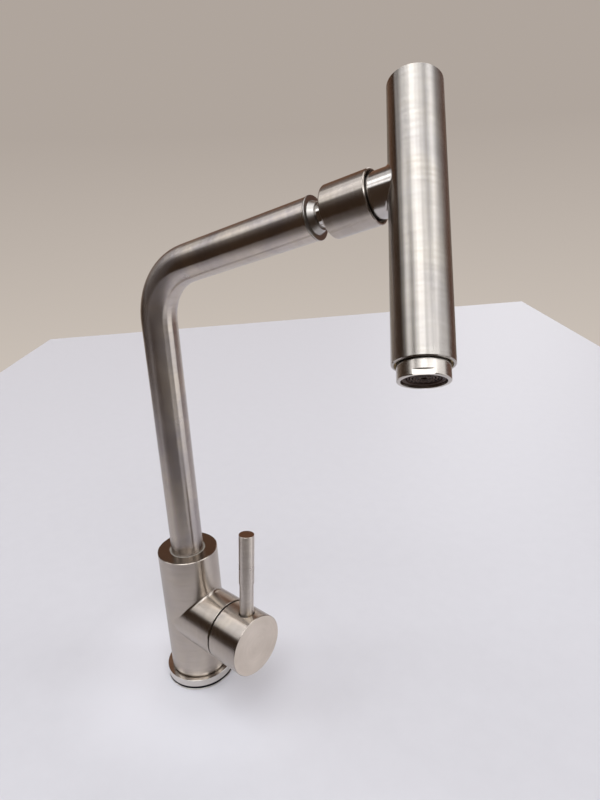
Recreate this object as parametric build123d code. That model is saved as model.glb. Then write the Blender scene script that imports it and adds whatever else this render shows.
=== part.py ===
from build123d import *
import math
import os

# Single-lever kitchen tap: a column body with a side branch that carries the
# mixing cartridge and its pin lever, a bent swivel spout, and a tubular outlet
# head hung on a ball joint at the end of the spout.
# Millimetres. Origin: centre of the underside. +Z up, +X along the handle branch.

# ------------------------------------------------------------------ dimensions
# column and its base
BODY_R = 23.5          # column outside radius
BODY_TOP = 117.5       # flat top of the column
BODY_WALL = 1.8
RING_R = 27.5          # polished base ring
RING_Z0, RING_Z1 = 2.9, 9.2
RECESS_R, RECESS_H = 22.2, 1.2   # dark recess between the ring and the column
GASKET_R, GASKET_Z0 = 27.3, 1.0
FOOT_R = 27.4
CORE_R = 21.65         # waterway casting inside the shell
CORE_Z0 = 1.3

# inlets and stud hole in the underside
INLET_Y = 12.0         # hose sockets left and right of the stud
INLET_R = 4.46         # M10x1 thread, minor radius
INLET_DEPTH = 16.0
STUD_R = 3.32          # M8 thread, minor radius
STUD_DEPTH = 22.0
STUD_BOSS_R = 6.5      # boss round the stud hole, down to the worktop

# branch, cartridge and handle
BRANCH_Z = 60.5        # height of the branch axis
BRANCH_R = 23.4
BRANCH_X1 = 43.5       # open end of the branch
BRANCH_WELD = 2.2      # ground weld round its foot
PIVOT_X = 32.0         # cross pivot of the lever inside the cartridge
CAP_R = 23.4
CAP_X0, CAP_X1 = 45.1, 73.0
CAP_WALL = 1.1
ROD_X = 62.0           # pin lever, distance along the branch
ROD_LEAN = -5.8        # lean of the pin lever at rest, degrees about the branch axis
ROD_R1, ROD_R2 = 5.25, 5.75
ROD_STEP, ROD_TOP = 48.5, 88.0
CART_R = 17.5          # 35 mm cartridge

# spout
TUBE_R, TUBE_WALL = 12.5, 1.2
CORNER_Z = 332.5       # where the riser axis and the arm axis meet
ARM_AZ = 11.3          # direction of the arm at rest, degrees from +X
ARM_EL = 15.0          # rise of the arm
BEND_R = 42.5          # centreline radius of the bend
ARM_S1 = 130.5         # end of the arm tube, along the arm axis from the corner
NOSE_S = 135.3         # front of the taper on the ring at the arm's end
SOCKET_R = 13.80       # socket bore in the column
FOOT_RAD = 13.72       # spout foot running in it

# ball joint at the end of the arm
BALL_S = 148.5         # ball centre along the arm
BALL_R = 9.5
CAGE_R0, CAGE_R1 = 9.56, 11.0
COLLAR_R = 15.0
COLLAR_S0, COLLAR_S1 = 141.8, 169.4
SOCK_R = 11.06

# outlet head
HEAD_S = 192.5         # head axis along the arm
HEAD_ROLL = -30.85     # roll of the head about the arm axis at rest
HEAD_R, HEAD_WALL = 15.0, 1.3
HEAD_UP, HEAD_DN = 58.7, 97.0
STUB_R = 12.5
SLEEVE_R = 12.6
SLEEVE_END = 104.8
SLEEVE_BORE = 10.75
SLEEVE_FLAT = 11.5     # half of the 23 mm across the spanner flats

os.makedirs("parts", exist_ok=True)


# --------------------------------------------------------------------- helpers
def turned(pts):
    """A turned piece about the local Z axis. Each corner is (radius, height) or
    (radius, height, rounding)."""
    pos = [(p[0], 0, p[1]) for p in pts]
    rad = [p[2] if len(p) > 2 else 0 for p in pts]
    if any(rad):
        edge = FilletPolyline(*pos, radius=rad, close=True)
    else:
        edge = Polyline(*pos, close=True)
    return revolve(make_face(edge), Axis.Z)


def rod(r, z0, z1, x=0.0, y=0.0):
    """Plain cylinder from height z0 to z1."""
    return Pos(x, y, (z0 + z1) / 2) * Cylinder(r, z1 - z0)


def tube(r0, r1, z0, z1):
    """Plain ring, inner radius r0, outer radius r1."""
    return rod(r1, z0, z1) - rod(r0, z0 - 1, z1 + 1)


def oring(r, c, z):
    return Pos(0, 0, z) * Torus(r, c)


def bar(x0, x1, y0, y1, z0, z1):
    return Pos((x0 + x1) / 2, (y0 + y1) / 2, (z0 + z1) / 2) * Box(x1 - x0, y1 - y0, z1 - z0)


def one(shape):
    """The shape as its list of solids."""
    return list(shape.solids())


NODES = {}


def put(name, *shapes):
    sol = []
    for s in shapes:
        sol += one(s)
    NODES[name] = sol


# ---------------------------------------------------------------------- frames
# branch frame: local Z runs out along +X, local X points up
BR = Plane(origin=(0, 0, BRANCH_Z), x_dir=(0, 0, 1), z_dir=(1, 0, 0)).location

az, el = math.radians(ARM_AZ), math.radians(ARM_EL)
ARM = Vector(math.cos(el) * math.cos(az), math.cos(el) * math.sin(az), math.sin(el))
ARM_UP = Vector(-math.sin(el) * math.cos(az), -math.sin(el) * math.sin(az), math.cos(el))
ARM_SIDE = ARM.cross(ARM_UP)
CORNER = Vector(0, 0, CORNER_Z)
# arm frame: local Z out along the arm, local X up; heights are distances from the corner
AR = Plane(origin=CORNER, x_dir=ARM_UP, z_dir=ARM).location

roll = math.radians(HEAD_ROLL)
HEAD_AX = ARM_UP * math.cos(roll) + ARM_SIDE * math.sin(roll)
HEAD_C = CORNER + ARM * HEAD_S
# head frame: local Z up the head, local X away from the arm
HD = Plane(origin=HEAD_C, x_dir=ARM, z_dir=HEAD_AX).location

# ------------------------------------------------------------------ column base
# thin foot ring, black gasket and polished ring stacked under the column
put("foot_ring", turned([(24.2, 0), (FOOT_R, 0), (FOOT_R, GASKET_Z0, 0.3), (24.2, GASKET_Z0)]))
put("deck_seal", turned([(21.2, 0), (24.0, 0), (24.0, GASKET_Z0), (21.2, GASKET_Z0)]))
put("base_gasket", turned([(21.2, GASKET_Z0), (GASKET_R, GASKET_Z0, 0.4), (GASKET_R, RING_Z0, 0.4), (21.2, RING_Z0)]))
put("base_ring", turned([(CORE_R + 0.05, RING_Z0), (RING_R - 0.5, RING_Z0), (RING_R, RING_Z0 + 0.5),
                         (RING_R, RING_Z1, 0.35), (CORE_R + 0.05, RING_Z1)]))

# ------------------------------------------------------------------ column shell
# column: a recess above the base ring, a bevel at the bottom edge, a fine bevel
# at the top edge and round the spout hole, a round window for the branch
shell = turned([(0, RING_Z1), (RECESS_R, RING_Z1), (RECESS_R, RING_Z1 + RECESS_H), (BODY_R - 0.5, RING_Z1 + RECESS_H),
                (BODY_R, RING_Z1 + RECESS_H + 0.5), (BODY_R, BODY_TOP - 0.45), (BODY_R - 0.45, BODY_TOP), (0, BODY_TOP)])
shell = shell - rod(BODY_R - BODY_WALL, RING_Z1 - 1, BODY_TOP - 3.5) - BR * rod(21.05, 5, BRANCH_X1)
shell = shell - turned([(0, 100), (SOCKET_R + 0.1, 100), (SOCKET_R + 0.1, BODY_TOP - 0.4),
                        (SOCKET_R + 0.5, BODY_TOP), (SOCKET_R + 0.5, BODY_TOP + 1), (0, BODY_TOP + 1)])
SCREW_Z = 96.0
screw_axis = Plane(origin=(0, 0, SCREW_Z), x_dir=(0, 1, 0), z_dir=(-1, 0, 0)).location
shell = shell - screw_axis * rod(2.75, 15, 30)
put("body_shell", shell)
# branch: short tube welded on the side of the column, its inner end cut to the
# column and flared by the ground weld
branch = rod(BODY_R, 20, 101) + BR * turned([(0, 0), (BRANCH_R, 0), (BRANCH_R, BRANCH_X1 - 0.3), (BRANCH_R - 0.3, BRANCH_X1), (0, BRANCH_X1)])
saddle = [e for e in branch.edges() if e.geom_type not in (GeomType.LINE, GeomType.CIRCLE)]
branch = fillet(saddle, BRANCH_WELD) - rod(BODY_R, 19, 102) - BR * rod(21.05, 0, BRANCH_X1 + 1)
put("branch_shell", max(branch.solids(), key=lambda q: q.volume))

# ------------------------------------------------------------- castings inside
# inlet block at the bottom of the column: hose sockets and stud hole
SPLIT_Z = 37.0
block = turned([(0, 0), (STUD_BOSS_R, 0), (STUD_BOSS_R, CORE_Z0), (20.9, CORE_Z0), (20.9, RING_Z0), (CORE_R, RING_Z0), (CORE_R, SPLIT_Z), (0, SPLIT_Z)])
block = block - rod(STUD_R, -1, STUD_DEPTH)
for s in (-1, 1):
    block = block - rod(INLET_R, 0, INLET_DEPTH, 0, s * INLET_Y) - rod(3.2, 10, SPLIT_Z + 1, 0, s * INLET_Y)
put("inlet_block", block)
# core above it: cup for the cartridge at the side, socket for the spout on top,
# drilled channels between
SEAT_X = 12.0
core = rod(CORE_R, SPLIT_Z, BODY_TOP - 3.5) + BR * rod(21.0, 0, 42.0)
core = core - BR * turned([(0, SEAT_X), (CART_R + 0.05, SEAT_X), (CART_R + 0.05, 35.0), (19.2, 35.0), (19.2, 43), (0, 43)])
core = core - turned([(0, 74), (6.0, 74), (6.0, 77.0), (SOCKET_R, 77.0), (SOCKET_R, BODY_TOP), (0, BODY_TOP)])
for s in (-1, 1):
    core = core - rod(3.2, SPLIT_Z - 1, BRANCH_Z - 3, 0, s * INLET_Y)
    core = core - BR * rod(2.8, -3, SEAT_X + 1, -5.0, -s * 9.0)
core = core - BR * rod(3.4, -3, SEAT_X + 1, 8.0, 0.0) - rod(5.0, BRANCH_Z + 6, 76)
core = core - screw_axis * rod(2.5, 12, 24)
put("waterway_core", core)

# grub screw behind the column: its dog point runs in the groove of the spout foot
screw = screw_axis * (rod(2.48, 14.4, 22.8) + rod(1.6, 12.2, 14.5))
screw = screw - screw_axis * extrude(Plane.XY.offset(20.2) * RegularPolygon(1.25, 6, major_radius=False), 4)
put("spout_screw", screw)

# guide bush of the spout, sunk in the top hole
put("top_bush", turned([(12.58, 107.2), (SOCKET_R - 0.02, 107.2), (SOCKET_R - 0.02, 117.0), (12.9, 117.0), (12.58, 116.6)]))

# -------------------------------------------------------------------- cartridge
# all heights along the branch axis from the column axis
ports = [(-5.0, -9.0, 2.8), (-5.0, 9.0, 2.8), (8.0, 0.0, 3.4)]
base = BR * turned([(0, 12.5), (CART_R, 12.5, 0.3), (CART_R, 15.0), (0, 15.0)])
base = base - BR * rod(12.95, 13.9, 16)
for u, v, r in ports:
    base = base - BR * rod(r, 10, 16, u, v) - BR * rod(r + 1.5, 10, 13.2, u, v)
put("cartridge_base", base)
seals = []
for u, v, r in ports:
    seals += one(BR * (rod(r + 1.45, SEAT_X, 13.2, u, v) - rod(r, 10, 16, u, v)))
NODES["port_seals"] = seals
fixed = BR * rod(12.9, 13.9, 17.0)
for u, v, r in ports:
    fixed = fixed - BR * rod(r - 0.3, 12, 18, u * 0.95, v * 0.95)
put("fixed_disc", fixed)
put("cartridge_body", BR * turned([(13.0, 15.0), (CART_R, 15.0), (CART_R, 35.0), (14.5, 35.0), (14.5, 40.0, 0.4), (12.0, 40.0),
                                   (12.0, 29.7), (13.0, 29.7)]))
put("cartridge_nut", BR * turned([(14.6, 35.0), (19.15, 35.0), (19.15, 42.0), (18.4, 42.0), (18.4, 43.0), (14.6, 43.0)])
    - BR * bar(-20, 20, -1.6, 1.6, 40.6, 45) - BR * bar(-1.6, 1.6, -20, 20, 40.6, 45))
put("cover_ring", BR * turned([(18.45, 42.1), (20.95, 42.1), (20.95, 43.6), (19.9, 44.5, 0.4), (15.4, 44.5, 0.3), (15.4, 43.1), (18.45, 43.1)]))

# lever carrier: turns in the cartridge, holds the cross pin of the stem
# lever frame: local Z along the branch, local X up the pin lever
lean = math.radians(ROD_LEAN)
LV = Plane(origin=(0, 0, BRANCH_Z), x_dir=(0, -math.sin(lean), math.cos(lean)), z_dir=(1, 0, 0)).location
carrier = LV * turned([(0, 27.2), (12.9, 27.2), (12.9, 29.6), (11.93, 29.6), (11.93, 40.8, 0.4), (0, 40.8)])
# slot for the stem, with room for its swing above and below the pivot
slot = Plane.XZ * make_face(Polyline((-9.2, 41.5), (4.6, 41.5), (4.6, 31.0), (5.6, 26.5), (-3.2, 26.5), (-4.6, 31.0), close=True))
carrier = carrier - LV * extrude(slot, 4.15, both=True)
pin_hole = Plane(origin=(0, 0, PIVOT_X), x_dir=(1, 0, 0), z_dir=(0, 1, 0)).location
carrier = carrier - LV * pin_hole * rod(1.5, -13, 13)
put("stem_carrier", carrier)
put("stem_pin", LV * pin_hole * rod(1.5, -11.2, 11.2))

# stem: square bar with an eye for the pin and a ball end that drives the disc
stem = bar(-4, 4, -4, 4, 33.5, 57.0)
stem = stem + pin_hole * rod(4.0, -4, 4)
stem = stem + rod(1.6, 23.5, 30.5) + Pos(0, 0, 24.0) * Sphere(2.5)
stem = stem - pin_hole * rod(1.55, -6, 6)
put("stem", LV * stem)

# moving ceramic disc and its driver plate: they slide across the fixed disc
DISC_U = -1.5          # offset of the closed disc from the axis
moving = LV * (rod(10.8, 17.03, 20.5, DISC_U, 0) - rod(4.2, 16.5, 19.0, DISC_U + 2.0, 0))
put("moving_disc", moving)
driver = LV * (rod(10.8, 20.5, 26.2, DISC_U, 0) - rod(2.65, 21.2, 27.0))
put("disc_driver", driver)

# ----------------------------------------------------------------------- handle
hub = turned([(0, 51.5), (10.0, 51.5, 0.5), (10.0, 53.0), (13.5, 53.0), (13.5, 67.0), (CAP_R - CAP_WALL - 0.02, 67.0),
              (CAP_R - CAP_WALL - 0.02, 71.0), (0, 71.0)])
hub = hub - bar(-4.03, 4.03, -4.03, 4.03, 50, 57.1)
up_ax = lambda zz: Plane(origin=(0, 0, zz), x_dir=(0, 0, 1), z_dir=(1, 0, 0)).location
hub = hub - up_ax(ROD_X) * rod(3.0, 5.5, 15) - up_ax(ROD_X) * rod(5.4, 13.0, 25)
hub = hub - up_ax(55.6) * Rot(0, 180, 0) * rod(2.0, 3.9, 15)
put("handle_hub", LV * hub)
cap = turned([(0, 71.0), (CAP_R - CAP_WALL, 71.0), (CAP_R - CAP_WALL, CAP_X0 + 1.1), (CAP_R - 0.5, CAP_X0 + 0.1),
              (CAP_R - 0.5, CAP_X0), (CAP_R - 0.25, CAP_X0), (CAP_R, CAP_X0 + 0.25), (CAP_R, CAP_X1 - 0.35), (CAP_R - 0.35, CAP_X1), (0, CAP_X1)])
cap = cap - up_ax(ROD_X) * rod(6.15, 15, 30)
cap = cap - up_ax(55.6) * Rot(0, 180, 0) * rod(1.9, 15, 30)
put("handle_cap", LV * cap)
# pin lever: threaded foot, thin neck, stepped grip with three fine rings near the top
pin = [(0, 5.8), (2.7, 5.8), (2.97, 6.3), (2.97, 13.0), (ROD_R1, 13.0), (ROD_R1, ROD_STEP - 0.15), (ROD_R1 + 0.1, ROD_STEP), (ROD_R2, ROD_STEP)]
for g in (82.2, 83.7, 85.2):
    pin += [(ROD_R2, g - 0.25), (ROD_R2 - 0.05, g), (ROD_R2, g + 0.25)]
pin += [(ROD_R2, ROD_TOP - 0.15), (ROD_R2 - 0.15, ROD_TOP), (0, ROD_TOP)]
put("handle_rod", LV * up_ax(ROD_X) * turned(pin))
grub = up_ax(55.6) * Rot(0, 180, 0) * rod(1.98, 4.0, 12.5)
grub = grub - up_ax(55.6) * Rot(0, 180, 0) * extrude(Plane.XY.offset(10.4) * RegularPolygon(1.0, 6, major_radius=False), 4)
put("hub_screw", LV * grub)

# ------------------------------------------------------------------------ spout
T = BEND_R * math.tan(math.radians(90 - ARM_EL) / 2)    # tangent length of the bend
FOOT_TOP = 106.0
RISER_Z0 = 100.0
ri = TUBE_R - TUBE_WALL
riser = tube(ri, TUBE_R, RISER_Z0, CORNER_Z - T)
arm = AR * tube(ri, TUBE_R, T, ARM_S1)
# the bend turns about a level axis beside the corner
h = Vector(math.cos(az), math.sin(az), 0)
ring = Plane(origin=(0, 0, CORNER_Z - T), x_dir=h, z_dir=(0, 0, 1)).location * (Circle(TUBE_R) - Circle(ri))
c0 = h * BEND_R + Vector(0, 0, CORNER_Z - T)
bend = revolve(ring, Axis(c0, h.cross(Vector(0, 0, 1))), 90 - ARM_EL)
if bend.bounding_box().max.Z < CORNER_Z - T + 5:
    bend = revolve(ring, Axis(c0, Vector(0, 0, 1).cross(h)), 90 - ARM_EL)
put("spout_tube", riser + bend + arm)

# turned foot brazed on the riser: two seal grooves, one groove for the screw
put("spout_foot", turned([(9.5, 78.0), (FOOT_RAD - 0.4, 78.0), (FOOT_RAD, 78.4), (FOOT_RAD, 80.6), (11.6, 80.6), (11.6, 82.9), (FOOT_RAD, 82.9),
                          (FOOT_RAD, 85.6), (11.6, 85.6), (11.6, 87.9), (FOOT_RAD, 87.9),
                          (FOOT_RAD, 93.9), (11.8, 93.9), (11.8, 98.1), (FOOT_RAD, 98.1),
                          (FOOT_RAD, FOOT_TOP), (TUBE_R, FOOT_TOP), (TUBE_R, RISER_Z0), (9.5, RISER_Z0)]))
put("spout_seals", oring(12.7, 1.07, 81.75), oring(12.7, 1.07, 86.75))

# polished ring in the end of the arm: spigot, shallow groove, thin flange with a
# flat front, and a short taper that carries the ball
put("arm_end_ring", AR * turned([(6.0, 118.0), (ri - 0.05, 118.0, 0.5), (ri - 0.05, ARM_S1), (12.2, ARM_S1), (12.2, ARM_S1 + 0.5),
                                 (12.9, ARM_S1 + 0.5, 0.25), (12.9, ARM_S1 + 1.3, 0.35), (9.8, ARM_S1 + 1.3), (7.9, NOSE_S, 0.5), (6.0, NOSE_S)]))
# ball stud screwed into that ring, bored for the water
ball = Pos(0, 0, BALL_S) * Sphere(BALL_R) + rod(6.8, NOSE_S + 0.05, BALL_S) + rod(5.97, 119.0, NOSE_S + 1.0)
ball = ball - rod(3.8, 110, 160) - rod(12, BALL_S + 8.3, BALL_S + 12)
put("ball_stud", AR * ball)

# ---------------------------------------------------------------- ball joint
# cage: plastic shell ring between ball and collar, round inside and outside
cage = Pos(0, 0, BALL_S) * (Sphere(CAGE_R1) - Sphere(CAGE_R0))
cage = cage & rod(20, BALL_S - 5.6, BALL_S)
put("ball_cage", AR * cage)
# collar: round socket behind, plain bore and thread in front, rounded rear edge
lip = math.sqrt(SOCK_R ** 2 - 5.9 ** 2)
collar = turned([(0, COLLAR_S0), (COLLAR_R, COLLAR_S0, 1.3), (COLLAR_R, COLLAR_S1 - 0.4), (COLLAR_R - 0.4, COLLAR_S1), (0, COLLAR_S1)])
collar = collar - Pos(0, 0, BALL_S) * Sphere(SOCK_R) - rod(SOCK_R, BALL_S, 160.0)
collar = collar - turned([(0, 159.0), (13.0, 159.0), (13.0, 162.9), (13.9, 162.9), (13.9, 171), (0, 171)])
collar = collar - turned([(0, 140), (12.2, 140), (12.2, COLLAR_S0), (9.35, BALL_S - 5.9), (9.35, BALL_S), (0, BALL_S)])
put("swivel_collar", AR * collar)
# rubber seal and plastic washer in front of the ball
put("ball_seal", AR * (turned([(7.0, BALL_S + 3.2), (11.0, BALL_S + 3.2), (11.0, BALL_S + 7.3), (7.0, BALL_S + 7.3)])
                       - Pos(0, 0, BALL_S) * Sphere(BALL_R + 0.05)))
put("seat_washer", AR * turned([(7.0, BALL_S + 7.4), (11.0, BALL_S + 7.4), (11.0, 158.95), (7.0, 158.95)]))
# threaded ring that holds the head's spigot in the collar
put("collar_nut", AR * (turned([(10.57, 163.0), (13.85, 163.0), (13.85, 167.0), (13.5, 167.3), (10.57, 167.3)])
                        - bar(-15, 15, -1.2, 1.2, 166.2, 168) - bar(-1.2, 1.2, -15, 15, 166.2, 168)))

# ------------------------------------------------------------------------- head
put("swivel_spigot", AR * turned([(5.5, 159.1), (12.9, 159.1), (12.9, 160.3), (11.9, 160.3), (11.9, 161.9), (12.9, 161.9), (12.9, 162.92),
                                  (10.5, 162.92), (10.5, 167.9), (8.97, 167.9), (8.97, 175.6), (5.5, 175.6)]))
put("spigot_seal", AR * oring(12.45, 0.52, 161.1))

# head: straight tube with a bevelled lower rim, and a window behind the stub
hr = HEAD_R - HEAD_WALL
head = HD * turned([(hr, -HEAD_DN), (HEAD_R - 0.4, -HEAD_DN), (HEAD_R, -HEAD_DN + 0.4), (HEAD_R, HEAD_UP - 0.3), (HEAD_R - 0.3, HEAD_UP), (hr, HEAD_UP)])
put("head_shell", head - AR * rod(9.0, 160, HEAD_S))
# stub: short tube cut to the head tube, its inner end flared by the weld
stub = AR * rod(STUB_R, 168.0, HEAD_S) + HD * rod(HEAD_R, -50, 50)
weld = [e for e in stub.edges() if e.geom_type not in (GeomType.LINE, GeomType.CIRCLE) and (e.center() - HEAD_C).length < 30]
stub = fillet(weld, 1.8) - HD * rod(HEAD_R, -60, 60) - AR * rod(9.0, 160, HEAD_S)
put("head_stub", max(stub.solids(), key=lambda q: q.volume))
put("head_top_cap", HD * turned([(0, 56.6), (hr - 0.02, 56.6), (hr - 0.02, HEAD_UP - 0.25), (hr - 0.25, HEAD_UP), (0, HEAD_UP)]))

# inner water pipe: a tee from the stub down to the outlet
PIPE_R, PIPE_B = 8.0, 6.0
pipe = rod(PIPE_R, -83.5, 10.0)
XH = Plane(origin=(0, 0, 0), x_dir=(0, 1, 0), z_dir=(-1, 0, 0)).location      # local Z towards the arm
pipe = pipe + XH * rod(PIPE_R, 0, HEAD_S - 175.7)
pipe = pipe - rod(PIPE_B, -84.5, 7.5) - XH * rod(5.5, 0, 20)
put("head_pipe", HD * pipe)
put("outlet_adapter", HD * turned([(PIPE_R + 0.02, -79.0), (hr - 0.02, -79.0), (hr - 0.02, -95.0, 0.4), (11.95, -95.0), (11.95, -84.6), (PIPE_R + 0.02, -84.6)]))

# aerator: threaded sleeve with two spanner flats, insert, screen and washer
sleeve = turned([(SLEEVE_BORE, -SLEEVE_END), (SLEEVE_R, -SLEEVE_END, 0.5), (SLEEVE_R, -95.6), (11.9, -95.6), (11.9, -87.0),
                 (10.2, -87.0), (10.2, -101.6), (SLEEVE_BORE, -102.4)])
FLAT_AZ = -67.5        # the flats face this way round the head axis, degrees from local X
for k in (0, 180):
    sleeve = sleeve - Rot(0, 0, FLAT_AZ + k) * bar(SLEEVE_FLAT, 20, -10, 10, -SLEEVE_END - 1, -SLEEVE_END + 2.8)
put("aerator_sleeve", HD * sleeve)
# insert: outlet face with round ribs and spokes, sunk in the sleeve
ins = tube(8.5, 10.15, -103.6, -89.0) + tube(7.2, 8.6, -101.6, -100.2)
for r in (1.95, 3.3, 4.65, 6.0, 7.3):
    ins = ins + tube(r - 0.25, r + 0.25, -103.2, -100.2)
for k in range(12):
    ins = ins + Rot(0, 0, 30 * k) * bar(1.9, 8.6, -0.22, 0.22, -102.9, -100.2)
put("aerator_insert", HD * ins)
# fine screen and flow plate above it
scr = rod(8.5, -99.6, -99.0)
put("aerator_screen", HD * (scr - [Pos(x * 2.1, y * 2.1, -99.3) * Box(1.2, 1.2, 2) for x in range(-3, 4) for y in range(-3, 4) if math.hypot(x, y) * 2.1 < 7.2]))
flow = tube(8.0, 8.5, -98.9, -94.0) + rod(8.5, -94.0, -92.4)
put("flow_plate", HD * (flow - [Rot(0, 0, 36 * k) * Pos(6.0, 0, -93) * Cylinder(0.7, 4) for k in range(10)]))
put("aerator_washer", HD * turned([(8.2, -86.95), (11.7, -86.95), (11.7, -84.65), (8.2, -84.65)]))

# ------------------------------------------------------------------------ write
for name, sol in NODES.items():
    shape = sol[0] if len(sol) == 1 else Compound(children=sol)
    shape.label = name
    export_step(shape, f"parts/{name}.step")
    bb = Compound(children=[s for s in sol]).bounding_box() if len(sol) > 1 else sol[0].bounding_box()
    print(f"{name:16s} solids {len(sol)}  z {bb.min.Z:7.1f}..{bb.max.Z:7.1f}")
print("nodes", len(NODES))
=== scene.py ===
import bpy
import math
from mathutils import Matrix, Vector

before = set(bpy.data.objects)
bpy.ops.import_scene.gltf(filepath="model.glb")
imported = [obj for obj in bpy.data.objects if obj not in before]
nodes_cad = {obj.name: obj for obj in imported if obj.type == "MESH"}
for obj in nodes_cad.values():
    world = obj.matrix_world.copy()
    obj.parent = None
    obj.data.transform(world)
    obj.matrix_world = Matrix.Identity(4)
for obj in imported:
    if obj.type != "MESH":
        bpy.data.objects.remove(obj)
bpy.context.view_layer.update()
scene = bpy.context.scene

# ------------------------------------------------------------- main directions
# the same figures as the CAD model, in metres
BRANCH_Z = 0.0605
CORNER = Vector((0, 0, 0.3325))
BEND_R = 0.0425
az, el, roll = math.radians(11.3), math.radians(15.0), math.radians(-30.85)
ARM = Vector((math.cos(el) * math.cos(az), math.cos(el) * math.sin(az), math.sin(el)))
ARM_UP = Vector((-math.sin(el) * math.cos(az), -math.sin(el) * math.sin(az), math.cos(el)))
ARM_SIDE = ARM.cross(ARM_UP)
HEAD_AX = ARM_UP * math.cos(roll) + ARM_SIDE * math.sin(roll)
HEAD_C = CORNER + ARM * 0.1925
LEAN = math.radians(-5.8)
ROD_AX = Vector((0, -math.sin(LEAN), math.cos(LEAN)))
ZUP = Vector((0, 0, 1))
XOUT = Vector((1, 0, 0))
BRANCH_C = Vector((0, 0, BRANCH_Z))

# ---------------------------------------------------------------------- camera
# worked out from the photograph: place, direction, roll and focal length
yaw, pitch, cam_roll, turn = 0.22988, 0.3286, 0.0479, 0.96252
fwd = Vector((math.sin(yaw) * math.cos(pitch), math.cos(yaw) * math.cos(pitch), -math.sin(pitch)))
right = Vector((math.cos(yaw), -math.sin(yaw), 0))
down = fwd.cross(right)
rx = right * math.cos(cam_roll) + down * math.sin(cam_roll)
dn = -right * math.sin(cam_roll) + down * math.cos(cam_roll)
rz = Matrix.Rotation(turn, 3, "Z")
rx, dn, fwd = rz @ rx, rz @ dn, rz @ fwd
cam_data = bpy.data.cameras.new("camera")
cam_data.sensor_width = 36.0
cam_data.lens = 587.418 * 36.0 / 800.0
cam_data.clip_start = 0.01
cam_data.clip_end = 50.0
cam = bpy.data.objects.new("camera", cam_data)
scene.collection.objects.link(cam)
m = Matrix((rx, -dn, -fwd)).transposed().to_4x4()
m.translation = Vector((0.34425, -0.2397, 0.37663))
cam.matrix_world = m
scene.camera = cam

scene.view_settings.view_transform = "Standard"
scene.view_settings.look = "None"


# ------------------------------------------------------------ shader shorthand
class Tree:
    """Adds nodes to one shader tree. Every call returns an output socket."""

    def __init__(self, tree):
        self.t = tree
        tree.nodes.clear()

    def new(self, kind, **props):
        n = self.t.nodes.new(kind)
        for k, v in props.items():
            setattr(n, k, v)
        return n

    def put(self, socket, value):
        if isinstance(value, bpy.types.NodeSocket):
            self.t.links.new(value, socket)
        elif value is not None:
            socket.default_value = value

    def math(self, op, a, b=None, c=None, clamp=False):
        n = self.new("ShaderNodeMath", operation=op, use_clamp=clamp)
        for s, v in zip(n.inputs, (a, b, c)):
            self.put(s, v)
        return n.outputs[0]

    def vec(self, op, a, b=None, scale=None):
        n = self.new("ShaderNodeVectorMath", operation=op)
        self.put(n.inputs[0], a)
        self.put(n.inputs[1], b)
        if scale is not None:
            self.put(n.inputs["Scale"], scale)
        return n.outputs["Value"] if op in ("DOT_PRODUCT", "LENGTH", "DISTANCE") else n.outputs["Vector"]

    def span(self, v, a, b, c=0.0, d=1.0, smooth=False):
        n = self.new("ShaderNodeMapRange", interpolation_type="SMOOTHSTEP" if smooth else "LINEAR")
        for s, x in zip(n.inputs, (v, a, b, c, d)):
            self.put(s, x)
        return n.outputs[0]

    def noise(self, vector, scale=1.0, detail=2.0, rough=0.5, w=None, distort=0.0):
        n = self.new("ShaderNodeTexNoise", noise_dimensions="4D" if w is not None else "3D")
        self.put(n.inputs["Vector"], vector)
        if w is not None:
            self.put(n.inputs["W"], w)
        n.inputs["Scale"].default_value = scale
        n.inputs["Detail"].default_value = detail
        n.inputs["Roughness"].default_value = rough
        n.inputs["Distortion"].default_value = distort
        return n.outputs["Fac"]

    def mix(self, fac, a, b):
        n = self.new("ShaderNodeMix", data_type="RGBA")
        self.put(n.inputs[0], fac)
        for s, v in ((n.inputs[6], a), (n.inputs[7], b)):
            self.put(s, (*v, 1.0) if isinstance(v, tuple) and len(v) == 3 else v)
        return n.outputs[2]

    def ramp(self, v, stops):
        n = self.new("ShaderNodeValToRGB")
        self.put(n.inputs[0], v)
        e = n.color_ramp.elements
        while len(e) < len(stops):
            e.new(0.5)
        for k, (pos, col) in zip(e, stops):
            k.position = pos
            k.color = (col, col, col, 1.0) if isinstance(col, float) else (*col, 1.0)
        return n.outputs["Color"]


def material(name):
    mat = bpy.data.materials.new(name)
    mat.use_nodes = True
    t = Tree(mat.node_tree)
    out = t.new("ShaderNodeOutputMaterial")
    sh = t.new("ShaderNodeBsdfPrincipled")
    t.t.links.new(sh.outputs[0], out.inputs[0])
    return mat, t, sh


def ring_coords(t, axis, origin):
    """Distance along the axis, distance from it, and the direction away from it."""
    p = t.new("ShaderNodeTexCoord").outputs["Object"]
    rel = t.vec("SUBTRACT", p, tuple(origin))
    s = t.vec("DOT_PRODUCT", rel, tuple(axis))
    along = t.vec("SCALE", tuple(axis), scale=s)
    rad = t.vec("SUBTRACT", rel, along)
    r = t.vec("LENGTH", rad)
    return p, rel, s, r, t.vec("NORMALIZE", rad)


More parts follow.
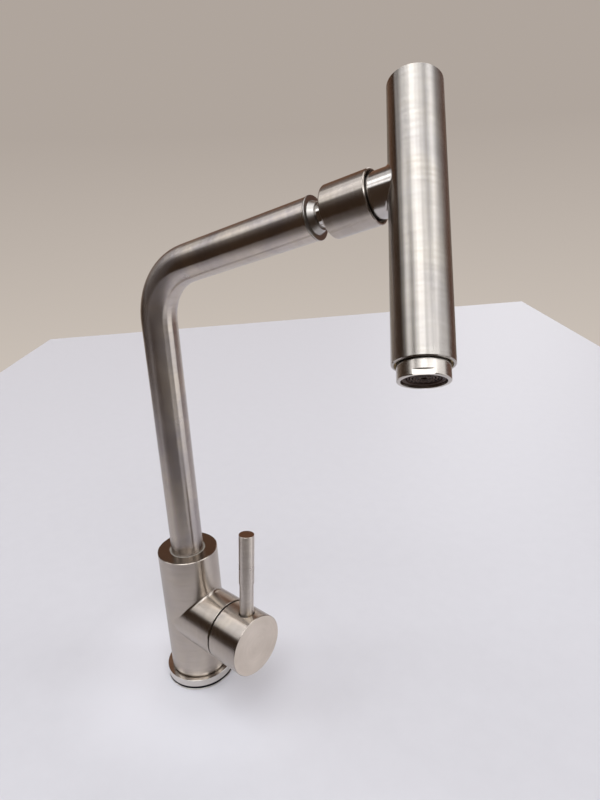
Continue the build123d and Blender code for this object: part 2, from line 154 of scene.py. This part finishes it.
def tube_coords(t):
    """The same for the bent spout: distance along its centreline, and the
    direction of the centreline at each point."""
    tc = t.new("ShaderNodeTexCoord")
    p, nrm = tc.outputs["Object"], tc.outputs["Normal"]
    tan_len = BEND_R * math.tan((math.pi / 2 - el) / 2)
    h = Vector((math.cos(az), math.sin(az), 0))
    side = h.cross(ZUP)
    c0 = h * BEND_R + ZUP * (CORNER.z - tan_len)
    v = t.vec("SUBTRACT", p, tuple(c0))
    flat = t.vec("SUBTRACT", v, t.vec("SCALE", tuple(side), scale=t.vec("DOT_PRODUCT", v, tuple(side))))
    ang = t.math("ARCTAN2", t.vec("DOT_PRODUCT", flat, (0, 0, 1)), t.math("MULTIPLY", t.vec("DOT_PRODUCT", flat, tuple(h)), -1.0))
    ang = t.math("MINIMUM", t.math("MAXIMUM", ang, 0.0), math.pi / 2 - el)
    # straight runs before and after the arc
    low = t.math("MINIMUM", t.vec("DOT_PRODUCT", v, (0, 0, 1)), 0.0)
    high = t.math("MAXIMUM", t.math("SUBTRACT", t.vec("DOT_PRODUCT", t.vec("SUBTRACT", p, tuple(CORNER)), tuple(ARM)), tan_len), 0.0)
    s = t.math("ADD", t.math("ADD", low, t.math("MULTIPLY", ang, BEND_R)), high)
    # direction of the centreline: up, turning over to the arm
    d = t.vec("ADD", t.vec("SCALE", (0, 0, 1), scale=t.math("COSINE", ang)), t.vec("SCALE", tuple(h), scale=t.math("SINE", ang)))
    return p, d, s, nrm


def to_world(t, v):
    n = t.new("ShaderNodeVectorTransform", vector_type="VECTOR", convert_from="OBJECT", convert_to="WORLD")
    t.put(n.inputs[0], v)
    return n.outputs[0]


STEEL = (0.500, 0.448, 0.396)
STEEL_DARK = (0.410, 0.361, 0.311)


def satin(name, axis=None, origin=None, rough=0.26, aniso=0.985, wave=1.0, end_rough=0.36, end_painted_gain=(1.0, 1.0, 1.0), rim=None, marks=0.55, light=STEEL, dark=STEEL_DARK):
    """Brushed stainless steel, its grain running round the axis of the piece."""
    mat, t, sh = material(name)
    if axis is None:
        p, d, s, nrm = tube_coords(t)
        around = t.vec("CROSS_PRODUCT", d, nrm)
        w = s
        e = nrm
    else:
        p, rel, s, r, e = ring_coords(t, axis, origin)
        around = t.vec("CROSS_PRODUCT", tuple(axis), e)
        w = t.math("ADD", s, r)
    hair = t.noise(e, scale=1.3, detail=1.0, w=t.math("MULTIPLY", w, 2200.0))
    line = t.noise(e, scale=1.0, detail=1.0, w=t.math("MULTIPLY", w, 560.0))
    band = t.noise(e, scale=0.8, detail=1.0, w=t.math("MULTIPLY", w, 90.0))
    cloud = t.noise(p, scale=38.0, detail=3.0, rough=0.55)
    soft = t.noise(p, scale=60.0, detail=0.0)
    # grain tone
    tone = t.math("ADD", t.math("MULTIPLY", line, 0.80), t.math("MULTIPLY", hair, 0.20))
    tone = t.math("ADD", t.math("MULTIPLY", tone, 0.60), t.math("MULTIPLY", cloud, 0.40))
    tint = t.mix(t.span(tone, 0.30, 0.70), dark, light)
    # faint cool wipe marks
    stain = t.noise(p, scale=34.0, detail=4.0, rough=0.6, distort=0.8)
    tint = t.vec("MULTIPLY", tint, t.mix(t.span(stain, 0.36, 0.62), (1.0 - 0.10 * marks, 1.0 - 0.09 * marks, 1.0 - 0.02 * marks), (1.0 + 0.08 * marks, 1.0 + 0.07 * marks, 1.0 + 0.06 * marks)))
    sh.inputs["Metallic"].default_value = 1.0
    # roughness: polishing bands and handling marks
    q = t.math("MULTIPLY_ADD", band, 0.02, rough - 0.035)
    q = t.math("MULTIPLY_ADD", cloud, 0.05, q)
    # flat ends are finished without a strong direction
    if axis is None:
        t.put(sh.inputs["Base Color"], tint)
        t.put(sh.inputs["Roughness"], q)
        sh.inputs["Anisotropic"].default_value = aniso
    else:
        face = t.math("ABSOLUTE", t.vec("DOT_PRODUCT", t.new("ShaderNodeTexCoord").outputs["Normal"], tuple(axis)))
        flat = t.span(face, 0.90, 0.985, smooth=True)
        t.put(sh.inputs["Roughness"], t.math("MULTIPLY_ADD", flat, end_rough - rough, q))
        t.put(sh.inputs["Anisotropic"], t.span(flat, 0.0, 1.0, aniso, 0.30))
        mottle = t.math("ADD", t.math("MULTIPLY", cloud, 0.75), t.math("MULTIPLY", line, 0.25))
        tint = t.mix(flat, tint, t.mix(t.span(mottle, 0.30, 0.70), dark, light))
        # end_painted_gain scales the flat ends' colour: painted light and shade on those faces
        tint = t.vec("MULTIPLY", tint, t.mix(flat, (1.0, 1.0, 1.0), end_painted_gain))
        if rim is not None:
            # a bright band painted onto the end face, from this radius to a little further out
            lip = t.math("MULTIPLY", t.span(r, rim[0] + 0.0006, rim[0] + 0.0009, 1.0, 0.0), t.span(s, rim[1], rim[1] + 0.0002))
            tint = t.mix(lip, tint, (0.90, 0.88, 0.85))
        t.put(sh.inputs["Base Color"], tint)
    sh.inputs["Anisotropic Rotation"].default_value = 0.25
    t.put(sh.inputs["Tangent"], to_world(t, around))
    # the slow unevenness that hand polishing leaves
    b1 = t.new("ShaderNodeBump")
    b1.inputs["Strength"].default_value = 1.0
    b1.inputs["Distance"].default_value = 0.00016 * wave
    t.put(b1.inputs["Height"], soft)
    t.t.links.new(b1.outputs[0], sh.inputs["Normal"])
    return mat


def polished(name, axis, origin, rough=0.10, light=(0.68, 0.645, 0.61), dark=(0.60, 0.56, 0.52), painted_shade_below=None):
    """Turned and polished steel: near mirror, with faint turning lines."""
    mat, t, sh = material(name)
    p, rel, s, r, e = ring_coords(t, axis, origin)
    w = t.math("ADD", s, r)
    line = t.noise(e, scale=0.9, detail=2.0, w=t.math("MULTIPLY", w, 1500.0))
    cloud = t.noise(p, scale=90.0, detail=3.0, rough=0.6)
    tint = t.mix(t.span(cloud, 0.35, 0.65), dark, light)
    if painted_shade_below is not None:
        # the lower edge painted near black below this height: painted shade, widening the dark line under the ring
        tint = t.mix(t.span(s, painted_shade_below, painted_shade_below + 0.00015, 1.0, 0.0), tint, (0.055, 0.048, 0.045))
    t.put(sh.inputs["Base Color"], tint)
    sh.inputs["Metallic"].default_value = 1.0
    t.put(sh.inputs["Roughness"], t.math("MULTIPLY_ADD", line, 0.06, t.math("MULTIPLY_ADD", cloud, 0.05, rough - 0.05)))
    b = t.new("ShaderNodeBump")
    b.inputs["Strength"].default_value = 0.5
    b.inputs["Distance"].default_value = 0.000008
    t.put(b.inputs["Height"], line)
    t.t.links.new(b.outputs[0], sh.inputs["Normal"])
    return mat


def turned_metal(name, axis, origin, light, dark, rough=0.32, metallic=1.0):
    """Plain machined metal inside the tap: brass or steel with turning marks."""
    mat, t, sh = material(name)
    p, rel, s, r, e = ring_coords(t, axis, origin)
    line = t.noise(e, scale=0.7, detail=2.0, w=t.math("MULTIPLY", t.math("ADD", s, r), 1100.0))
    cloud = t.noise(p, scale=120.0, detail=4.0, rough=0.6)
    mixf = t.math("ADD", t.math("MULTIPLY", line, 0.4), t.math("MULTIPLY", cloud, 0.6))
    t.put(sh.inputs["Base Color"], t.mix(t.span(mixf, 0.38, 0.62), dark, light))
    sh.inputs["Metallic"].default_value = metallic
    t.put(sh.inputs["Roughness"], t.math("MULTIPLY_ADD", line, 0.12, t.math("MULTIPLY_ADD", cloud, 0.10, rough - 0.10)))
    b = t.new("ShaderNodeBump")
    b.inputs["Strength"].default_value = 0.6
    b.inputs["Distance"].default_value = 0.00002
    t.put(b.inputs["Height"], line)
    t.t.links.new(b.outputs[0], sh.inputs["Normal"])
    return mat


def moulded(name, light, dark, rough=0.45, grain=900.0, depth=0.00002, spec=0.5):
    """Moulded plastic, rubber or lapped ceramic: fine grain and slight mottling."""
    mat, t, sh = material(name)
    p = t.new("ShaderNodeTexCoord").outputs["Object"]
    fine = t.noise(p, scale=grain, detail=3.0, rough=0.65)
    cloud = t.noise(p, scale=grain / 9.0, detail=3.0, rough=0.6)
    f = t.math("ADD", t.math("MULTIPLY", fine, 0.45), t.math("MULTIPLY", cloud, 0.55))
    t.put(sh.inputs["Base Color"], t.mix(t.span(f, 0.36, 0.64), dark, light))
    t.put(sh.inputs["Roughness"], t.math("MULTIPLY_ADD", fine, 0.14, t.math("MULTIPLY_ADD", cloud, 0.10, rough - 0.12)))
    sh.inputs["Specular IOR Level"].default_value = spec
    b = t.new("ShaderNodeBump")
    b.inputs["Strength"].default_value = 0.5
    b.inputs["Distance"].default_value = depth
    t.put(b.inputs["Height"], fine)
    t.t.links.new(b.outputs[0], sh.inputs["Normal"])
    return mat


def aerator_plastic():
    """Dark plastic of the outlet face: fine concentric ribs crossed by a ring grid of small openings."""
    mat, t, sh = material("aerator_plastic")
    p, rel, s, r, e = ring_coords(t, HEAD_AX, HEAD_C)
    u = HEAD_AX.orthogonal().normalized()
    v = HEAD_AX.cross(u)
    turn_a = t.math("ARCTAN2", t.vec("DOT_PRODUCT", rel, tuple(u)), t.vec("DOT_PRODUCT", rel, tuple(v)))
    ribs = t.math("SINE", t.math("MULTIPLY", r, 2 * math.pi / 0.0019))
    dots = t.math("MULTIPLY", ribs, t.math("SINE", t.math("MULTIPLY", turn_a, 18.0)))
    inside = t.span(r, 0.0074, 0.0078, 1.0, 0.0)
    fine = t.noise(p, scale=900.0, detail=3.0, rough=0.6)
    tone = t.math("MULTIPLY_ADD", t.math("MULTIPLY", dots, inside), 0.35, t.math("MULTIPLY_ADD", ribs, 0.22, t.math("MULTIPLY", fine, 0.5)))
    t.put(sh.inputs["Base Color"], t.mix(t.span(tone, -0.10, 0.62), (0.016, 0.007, 0.005), (0.300, 0.205, 0.175)))
    t.put(sh.inputs["Roughness"], t.math("MULTIPLY_ADD", fine, 0.20, 0.32))
    sh.inputs["Specular IOR Level"].default_value = 0.10
    b = t.new("ShaderNodeBump")
    b.inputs["Strength"].default_value = 0.4
    b.inputs["Distance"].default_value = 0.00010
    t.put(b.inputs["Height"], ribs)
    t.t.links.new(b.outputs[0], sh.inputs["Normal"])
    return mat


BALL_C = CORNER + ARM * 0.1485
BRASS_L, BRASS_D = (0.78, 0.60, 0.30), (0.60, 0.43, 0.19)
STEELP_L, STEELP_D = (0.56, 0.54, 0.52), (0.42, 0.40, 0.38)

# end_painted_gain: painted shade on the column top and rod top, painted light on the cap front
mats = {
    "column": satin("satin_column", ZUP, Vector((0, 0, 0)), end_rough=0.26, end_painted_gain=(0.55, 0.53, 0.505), rim=(0.0131, 0.1171),
                    light=(0.555, 0.497, 0.440), dark=(0.455, 0.401, 0.345)),
    "branch": satin("satin_branch", XOUT, BRANCH_C),
    "cap": satin("satin_cap", XOUT, BRANCH_C, end_painted_gain=(1.55, 1.54, 1.52)),
    "rod": satin("satin_rod", ROD_AX, BRANCH_C + XOUT * 0.062, rough=0.28, wave=0.3, end_rough=0.20, end_painted_gain=(0.60, 0.53, 0.485), light=(0.68, 0.62, 0.555), dark=(0.57, 0.51, 0.45)),
    "tube": satin("satin_tube", marks=1.3, light=(0.555, 0.500, 0.448), dark=(0.455, 0.403, 0.352)),
    "collar": satin("satin_collar", ARM, CORNER, rough=0.24),
    "head": satin("satin_head", HEAD_AX, HEAD_C, rough=0.245, light=(0.486, 0.453, 0.412), dark=(0.408, 0.374, 0.334)),
    "stub": satin("satin_stub", ARM, CORNER, rough=0.16, aniso=0.92, light=(0.58, 0.545, 0.51), dark=(0.49, 0.455, 0.42)),
    "foot": satin("satin_foot", ZUP, Vector((0, 0, 0)), rough=0.34, light=(0.72, 0.69, 0.65), dark=(0.62, 0.59, 0.55)),
    # the base ring's lower edge is painted near black: painted shade
    "ring": polished("polished_base_ring", ZUP, Vector((0, 0, 0)), rough=0.13, painted_shade_below=0.0034),
    "nose": polished("polished_nose", ARM, CORNER, rough=0.29, light=(0.40, 0.375, 0.35), dark=(0.40, 0.375, 0.35)),
    "ball": polished("polished_ball", ARM, CORNER, rough=0.10, light=(0.60, 0.57, 0.54), dark=(0.52, 0.49, 0.46)),
    "sleeve": polished("polished_sleeve", HEAD_AX, HEAD_C, rough=0.24, light=(0.56, 0.515, 0.47), dark=(0.48, 0.44, 0.40)),
    "brass_z": turned_metal("brass_column", ZUP, Vector((0, 0, 0)), BRASS_L, BRASS_D),
    "brass_x": turned_metal("brass_branch", XOUT, BRANCH_C, BRASS_L, BRASS_D),
    "brass_arm": turned_metal("brass_arm", ARM, CORNER, BRASS_L, BRASS_D),
    "brass_head": turned_metal("brass_head", HEAD_AX, HEAD_C, BRASS_L, BRASS_D),
    "steel_x": turned_metal("steel_branch", XOUT, BRANCH_C, STEELP_L, STEELP_D),
    # plated parts inside the swivel joint: steel colour, made darker than the other plated steel as painted shade in
    # the gap
    "steel_arm_painted_shade": turned_metal("steel_arm_painted_shade", ARM, CORNER, (0.34, 0.32, 0.30), (0.24, 0.225, 0.21)),
    "steel_head": turned_metal("steel_head", HEAD_AX, HEAD_C, STEELP_L, STEELP_D, rough=0.28),
    "rubber": moulded("black_rubber", (0.030, 0.030, 0.034), (0.012, 0.012, 0.014), rough=0.55, grain=1500.0),
    "gasket": moulded("gasket_rubber", (0.0075, 0.0075, 0.0120), (0.0035, 0.0035, 0.0055), rough=0.48, grain=1500.0, spec=0.10),
    "white": moulded("white_acetal", (0.80, 0.79, 0.76), (0.70, 0.69, 0.66), rough=0.42),
    "grey": moulded("grey_plastic", (0.020, 0.016, 0.013), (0.010, 0.008, 0.007), rough=0.50),
    "aerator": aerator_plastic(),
    "bush": moulded("bush_plastic", (0.40, 0.375, 0.34), (0.30, 0.28, 0.25), rough=0.36),
    "ceramic": moulded("lapped_ceramic", (0.86, 0.85, 0.82), (0.80, 0.79, 0.76), rough=0.22, grain=2200.0, depth=0.000004),
}
assign = {
    "foot_ring": "foot", "deck_seal": "rubber", "base_gasket": "gasket", "base_ring": "ring",
    "body_shell": "column", "branch_shell": "branch", "inlet_block": "brass_z", "waterway_core": "brass_z",
    "spout_screw": "steel_x", "top_bush": "bush", "cartridge_base": "white", "port_seals": "rubber", "fixed_disc": "ceramic",
    "cartridge_body": "white", "cartridge_nut": "brass_x", "cover_ring": "grey",
    "stem_carrier": "white", "stem_pin": "steel_x", "stem": "steel_x", "moving_disc": "ceramic", "disc_driver": "grey",
    "handle_hub": "brass_x", "handle_cap": "cap", "handle_rod": "rod", "hub_screw": "steel_x",
    "spout_tube": "tube", "spout_foot": "brass_z", "spout_seals": "rubber", "arm_end_ring": "nose", "ball_stud": "ball",
    "ball_cage": "white", "swivel_collar": "collar", "ball_seal": "rubber", "seat_washer": "white", "collar_nut": "steel_arm_painted_shade",
    "swivel_spigot": "steel_arm_painted_shade", "spigot_seal": "rubber", "head_shell": "head", "head_stub": "stub", "head_top_cap": "head",
    "head_pipe": "brass_head", "outlet_adapter": "brass_head", "aerator_sleeve": "sleeve", "aerator_insert": "aerator",
    "aerator_screen": "steel_head", "flow_plate": "white", "aerator_washer": "rubber",
}
for name, obj in nodes_cad.items():
    mat = mats[assign[name]]
    for slot in obj.material_slots:
        slot.material = mat

# ----------------------------------------------------------------------- floor
# a plain pale table top, its edges where the photograph shows them
B_DIR = Vector((0.669, -0.743, 0))      # level direction from the tap to the camera's side
R_DIR = Vector((0.743, 0.669, 0))       # level direction to the picture's right


def on_floor(u, v):
    """Where a picture point lies on the floor."""
    d = rx * (u - 300) / 587.418 + dn * (v - 400) / 587.418 + fwd
    o = m.translation
    return o + d * (-o.z / d.z)


far_l, far_r = on_floor(50, 339), on_floor(522, 301)
side_l = (on_floor(0, 372) - far_l).normalized()
side_r = (on_floor(600, 346) - far_r).normalized()
near = 0.225
pts = [far_l, far_r]
for q, sd in ((far_r, side_r), (far_l, side_l)):
    k = (near - q.dot(B_DIR)) / sd.dot(B_DIR)
    pts.append(q + sd * k)
me = bpy.data.meshes.new("floor")
me.from_pydata([(p.x, p.y, -0.0002) for p in pts] + [(p.x, p.y, -0.0302) for p in pts], [],
               [(3, 2, 1, 0), (4, 5, 6, 7), (0, 1, 5, 4), (1, 2, 6, 5), (2, 3, 7, 6), (3, 0, 4, 7)])
me.validate()
floor = bpy.data.objects.new("floor", me)
scene.collection.objects.link(floor)
bev = floor.modifiers.new("edge", "BEVEL")
bev.width = 0.003
bev.segments = 3
fmat, t, sh = material("floor")
fp = t.new("ShaderNodeTexCoord").outputs["Object"]
fn = t.noise(fp, scale=60.0, detail=4.0, rough=0.6)
pale = t.mix(t.span(fn, 0.3, 0.7), (0.625, 0.617, 0.650), (0.640, 0.632, 0.665))
# the table is a little paler close round the base
close = t.span(t.vec("LENGTH", fp), 0.035, 0.130, 1.0, 0.0, smooth=True)
t.put(sh.inputs["Base Color"], t.mix(close, pale, (0.745, 0.738, 0.780)))
t.put(sh.inputs["Roughness"], t.math("MULTIPLY_ADD", fn, 0.1, 0.38))
sh.inputs["Specular IOR Level"].default_value = 0.35
me.materials.append(fmat)

# ----------------------------------------------------------------------- light
# one big soft light overhead, leaning towards the camera, a few soft panels
# and two dark gaps in it, and a dim warm room round the rest
world = bpy.data.worlds.new("studio")
scene.world = world
world.use_nodes = True
w = Tree(world.node_tree)
wout = w.new("ShaderNodeOutputWorld")
d = w.vec("NORMALIZE", w.new("ShaderNodeTexCoord").outputs["Generated"])
dz = w.vec("DOT_PRODUCT", d, (0, 0, 1))
db = w.vec("DOT_PRODUCT", d, tuple(B_DIR))
dr = w.vec("DOT_PRODUCT", d, tuple(R_DIR))
azim = w.math("ARCTAN2", dr, db)                       # 0 behind the camera, + to the right


def panel(centre, half, low, high, soft=6.0):
    """A soft-edged light: degrees round the tap from behind the camera, and up."""
    c = w.math("COSINE", w.math("SUBTRACT", azim, math.radians(centre)))
    v = w.span(c, math.cos(math.radians(half + soft)), math.cos(math.radians(max(half - soft, 0.1))), smooth=True)
    lo_a, lo_b = math.sin(math.radians(low - soft)), math.sin(math.radians(low + soft))
    hi_a, hi_b = math.sin(math.radians(high + soft)), math.sin(math.radians(high - soft))
    v = w.math("MULTIPLY", v, w.span(dz, lo_a, lo_b, smooth=True))
    return w.math("MULTIPLY", v, w.span(dz, hi_a, hi_b, smooth=True))


dome_dir = (B_DIR * 0.297 + R_DIR * 0.09 + ZUP).normalized()
total = w.math("MULTIPLY", w.span(w.vec("DOT_PRODUCT", d, tuple(dome_dir)), 0.56, 0.90, smooth=True), 1.75)
for centre, half, low, high, power in (
    (-17, 19, 54, 65, 2.9),       # front
    (-94, 36, 33, 88, 2.5),       # left
    (26, 13, 33, 42, 3.9),        # right front strip
    (51, 11, 37, 46, 2.2),        # second strip beside it
    (79, 16, -30, 64, 1.25),      # right window
    (160, 8, 11, 37, 1.6),        # behind right
    (47, 14, -50, -19, 0.9),      # low right front
):
    total = w.math("MULTIPLY_ADD", panel(centre, half, low, high, 4.0), power, total)
for gap, depth in ((panel(-69, 12, 40, 66, 4.0), 0.96), (panel(-114, 16, 34, 63, 4.0), 0.80), (panel(55, 16, 46, 74, 4.0), 0.90)):
    total = w.math("MULTIPLY", total, w.math("MULTIPLY_ADD", gap, -depth, 1.0))
light = w.vec("SCALE", (0.975, 1.0, 1.03), scale=total)
# room: dark brown, lighter and beige low down behind the tap, reddish at the right
back = w.span(db, -0.45, -0.95, smooth=True)
room = w.mix(back, (0.058, 0.038, 0.026), (0.25, 0.137, 0.088))
room = w.mix(w.math("MULTIPLY", back, w.span(dz, 0.28, 0.06, smooth=True)), room, (0.34, 0.30, 0.26))
room = w.mix(w.math("MULTIPLY", back, w.span(dz, 0.64, 0.74, smooth=True)), room, (0.30, 0.165, 0.105))
rgt = w.math("MULTIPLY", w.span(dr, 0.50, 0.85, smooth=True), w.span(db, -0.05, -0.35, smooth=True))
room = w.mix(rgt, room, (0.165, 0.088, 0.066))
env = w.vec("ADD", light, room)
bg_env = w.new("ShaderNodeBackground")
w.put(bg_env.inputs[0], env)
bg_env.inputs[1].default_value = 1.0
# what the camera sees behind the tap: a pale wall, darker towards the top as painted shade
bg_cam = w.new("ShaderNodeBackground")
w.put(bg_cam.inputs[0], w.mix(w.span(dz, -0.30, 0.10), (0.62, 0.555, 0.495), (0.43, 0.376, 0.335)))
bg_cam.inputs[1].default_value = 1.0
mixsh = w.new("ShaderNodeMixShader")
w.put(mixsh.inputs[0], w.new("ShaderNodeLightPath").outputs["Is Camera Ray"])
w.t.links.new(bg_env.outputs[0], mixsh.inputs[1])
w.t.links.new(bg_cam.outputs[0], mixsh.inputs[2])
w.t.links.new(mixsh.outputs[0], wout.inputs[0])
